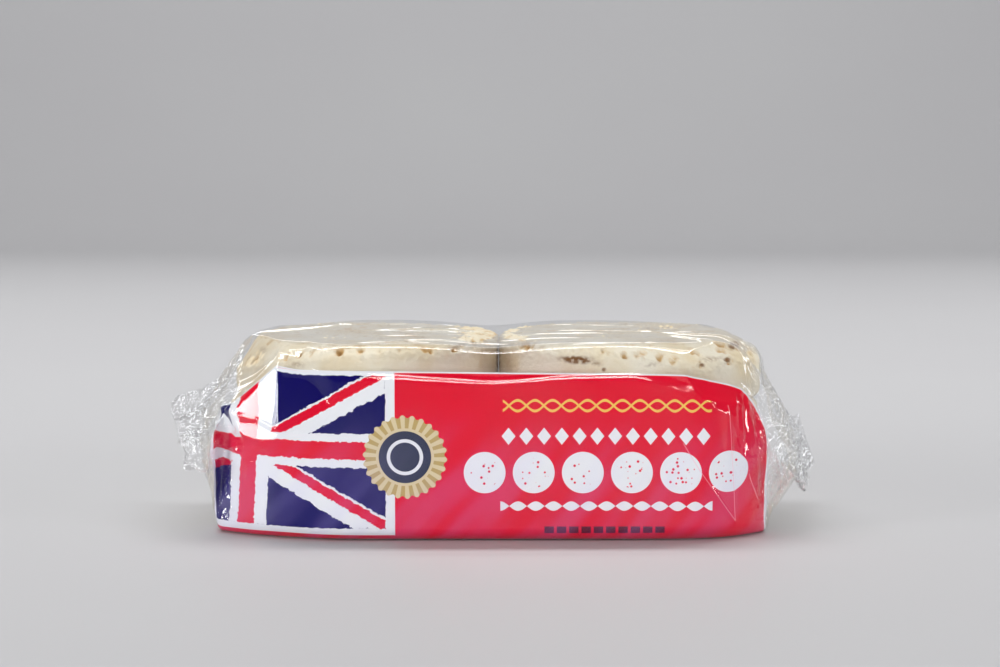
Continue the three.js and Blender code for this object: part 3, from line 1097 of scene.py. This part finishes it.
def crumpet_material():
    shader = Shader("crumpet")
    place = shader.object_place()
    patches = shader.noise(place, 60.0, 4.0)
    mottle = shader.noise(place, 700.0, 4.0)
    cream = shader.blend(shader.step(patches, 0.35, 0.7), linear(228, 221, 203), linear(220, 205, 174))
    toast = shader.plus(shader.attribute("toast"), shader.times(mottle, 0.25))
    golden = shader.blend(shader.step(toast, 0.35, 1.1), cream, linear(208, 170, 112))
    # Painted shade: down in the holes the colour goes darker and browner, by their depth.
    deep = shader.blend(shader.step(shader.attribute("pit"), 0.15, 1.6), golden, linear(200, 164, 110))
    # The browned spots and the painted shade along the seam, broken up by the mottle.
    rough = shader.times(shader.attribute("browning_and_seam_shade"), shader.step(mottle, 0.3, 0.6, 0.6, 1.25))
    brown = shader.blend(shader.step(rough, 0.25, 1.0), deep, linear(122, 84, 46))
    shader.set(Base_Color=brown, Roughness=0.75, Specular_IOR_Level=0.25)
    shader.bump(mottle, 0.0005, 0.7)
    return shader.material


def slump(points, radius, turn, depth, length):
    """How far the rim sinks round the direction turn, in degrees, over a length that ends at the rim."""
    angle = np.arctan2(points[..., 1], points[..., 0])
    off = np.angle(np.exp(1j * (angle - math.radians(turn))))
    near = np.exp(-((off / SLUMP_HALF_ANGLE) ** 2))
    out = fade_in(np.hypot(points[..., 0], points[..., 1]), radius - length, length)
    return depth * near * out * ease(points[..., 2] / CRUMPET_THICKNESS)


def press_at_seam(placed, side):
    """Keeps a crumpet on its own side of the seam, a flat where the two stacks press on each other."""
    over = side * (SEAM_X - placed[..., 0]) + SEAM_CLEARANCE
    eased = (over + SEAM_EASE) ** 2 / (4 * SEAM_EASE)
    placed[..., 0] += side * np.where(over > -SEAM_EASE, eased, 0.0)
    placed[..., 0] += side * np.where(over > SEAM_EASE, over - eased, 0.0)


def make_crumpet(name, place, radius, slumps, seed, material, detail):
    random = np.random.default_rng(seed)
    thickness = CRUMPET_THICKNESS - LAYER_GAP
    profile = crumpet_profile(radius, thickness, int(72 * detail), int(16 * detail))
    points, normals = turned_points(profile, int(440 * detail))
    height = points[..., 2]
    pits, edges = crumpet_pits(points, random, radius, thickness)
    near_top = ease((height - thickness + RIM_ROUND + FLAKE_REACH) / FLAKE_REACH)
    relief = sum(rise * soft_waves(points, random, length) for rise, length in RELIEF_WAVES) - pits
    relief += FLAKE_DEPTH * near_top * np.abs(soft_waves(points, random, FLAKE_LENGTH))
    on_foot = 1 - ease(height / 0.5)
    shaped = points + normals * (relief * (1 - on_foot))[..., None]
    for rim_slump in slumps:
        shaped[..., 2] -= slump(points, radius, *rim_slump)
    patches = ease(soft_waves(points, random, PATCH_LENGTH) - 0.6)
    patches *= ease((height - thickness + PATCH_REACH) / PATCH_REACH)
    placed = shaped + np.array(place)
    press_at_seam(placed, math.copysign(1.0, place[0]))
    piece = make_piece(name, placed, True, material)
    set_attribute(piece, "toast", PIT_TOAST * edges + FOOT_TOAST * on_foot + PATCH_TOAST * patches)
    set_attribute(piece, "pit", pits)
    set_attribute(piece, "browning_and_seam_shade", browning_and_seam_shade_at(placed))


# Each stack from the foot up: x, y and radius, then the slumps of the rim as direction, depth and length.
STACKS = {
    "left": [
        (-42.6, 0.1, 43.6, [(200, 0.5, 15)]),
        (-42.2, -0.2, 43.8, [(40, 0.5, 15)]),
        (-40.6, 0.1, 43.7, [(180, 8.5, 8), (222, 3.0, 9)]),
    ],
    "right": [
        (43.6, -0.1, 43.4, [(120, 0.5, 15)]),
        (44.0, 0.2, 43.5, [(300, 0.5, 15)]),
        (45.0, 0.0, 43.6, [(0, 5.5, 12), (-58, 5.0, 12)]),
    ],
}
LAYER_NAMES = ("bottom", "middle", "top")
HIDDEN_DETAIL = 0.55
FOOT_CLEARANCE = 0.3
CRUMPET_SEED = 40


def make_crumpets():
    material = crumpet_material()
    seed = CRUMPET_SEED
    for stack, crumpets in STACKS.items():
        for layer, (x, y, radius, slumps) in enumerate(crumpets):
            seed += 1
            name = f"crumpet_{stack}_{LAYER_NAMES[layer]}"
            place = (x, y, FOOT_CLEARANCE + layer * CRUMPET_THICKNESS)
            detail = FINENESS if LAYER_NAMES[layer] == "top" else HIDDEN_DETAIL * FINENESS
            make_crumpet(name, place, radius, slumps, seed, material, detail)


# ---- studio

FLOOR_FRONT = -3.0
SWEEP_START = 1.3
SWEEP_RADIUS = 0.6
BACKDROP_TOP = 2.4
FLOOR_HALF_WIDTH = 3.0


def make_floor():
    """A pale floor that sweeps up into a backdrop far behind the pack."""
    line = [(FLOOR_FRONT, 0.0), (SWEEP_START, 0.0)]
    for angle in np.radians(np.linspace(0, 90, 25))[1:]:
        line.append((SWEEP_START + SWEEP_RADIUS * math.sin(angle), SWEEP_RADIUS * (1 - math.cos(angle))))
    line.append((SWEEP_START + SWEEP_RADIUS, BACKDROP_TOP))
    grid = np.array([[(-FLOOR_HALF_WIDTH, y, z), (FLOOR_HALF_WIDTH, y, z)] for y, z in line])
    shader = Shader("pale_floor")
    tone = shader.noise(shader.object_place(), 3.0, 2.0)
    shader.set(Base_Color=shader.blend(tone, linear(187, 186, 188), linear(192, 192, 193)), Roughness=0.6)
    floor = add_surface("floor", grid, False, shader.material)


WORLD_COLOUR = (0.93, 0.95, 1.0, 1.0)
WORLD_STRENGTH = 0.16
PACK_MIDDLE = (0.0, 0.0, 0.045)

# Each light's name, place, size, power and, where they differ, spread in degrees and target. The slits draw
# the double line along the print's top and top_streaks the streaks on the top film. The back film mirrors
# back_left and back_right.
LIGHTS = [
    ("overhead", (0.0, 0.27, 1.4), (2.0, 0.14), 16.5),
    ("front_high", (0.0, -1.3, 0.85), (1.8, 0.6), 3.5),
    ("slit_low", (0.05, -1.5, 0.13), (0.40, 0.07), 0.24, 60),
    ("slit_high", (0.05, -1.5, 0.28), (0.40, 0.07), 0.24, 60),
    ("left_low", (-1.153, -0.707, 0.22), (0.3, 0.6), 9.5),
    ("right_low", (1.2, -0.63, 0.22), (0.2, 0.5), 6.0),
    ("top_streaks", (0.0, 1.2, 0.45), (1.6, 0.06), 0.8),
    ("back_left", (-1.0, 1.0, 0.30), (0.06, 0.4), 0.6),
    ("back_right", (1.0, 1.0, 0.30), (0.06, 0.4), 0.6),
    ("backdrop_light", (0.0, 0.5, 1.3), (2.4, 0.3), 11.0, 180, (0.0, 1.7, 0.25)),
]


def add_area_light(name, place, size, watts, spread=180, target=PACK_MIDDLE):
    data = bpy.data.lights.new(name, "AREA")
    data.shape = "RECTANGLE"
    data.size, data.size_y = size
    data.energy = watts
    data.spread = math.radians(spread)
    light = add_object(name, data)
    light.location = place
    light.rotation_euler = (Vector(target) - Vector(place)).to_track_quat("-Z", "Y").to_euler()


def make_lights():
    world = bpy.data.worlds.new("studio")
    world.use_nodes = True
    background = world.node_tree.nodes["Background"]
    background.inputs["Color"].default_value = WORLD_COLOUR
    background.inputs["Strength"].default_value = WORLD_STRENGTH
    bpy.context.scene.world = world
    for light in LIGHTS:
        add_area_light(*light)


CAMERA_PLACE = (0.0027, -0.802, 0.143)
CAMERA_PITCH = math.radians(5.77)
CAMERA_LENS = 87.3


def make_camera():
    data = bpy.data.cameras.new("camera")
    data.lens = CAMERA_LENS
    camera = add_object("camera", data)
    camera.location = CAMERA_PLACE
    camera.rotation_euler = (math.pi / 2 - CAMERA_PITCH, 0.0, 0.0)
    bpy.context.scene.camera = camera
    bpy.context.scene.view_settings.view_transform = "Standard"


make_camera()
make_lights()
make_floor()
smooth_form = film_base_form()
film_grid = film_form(smooth_form)
make_piece("film", film_grid, True, film_material())
make_print(smooth_form, film_grid)
make_crumpets()
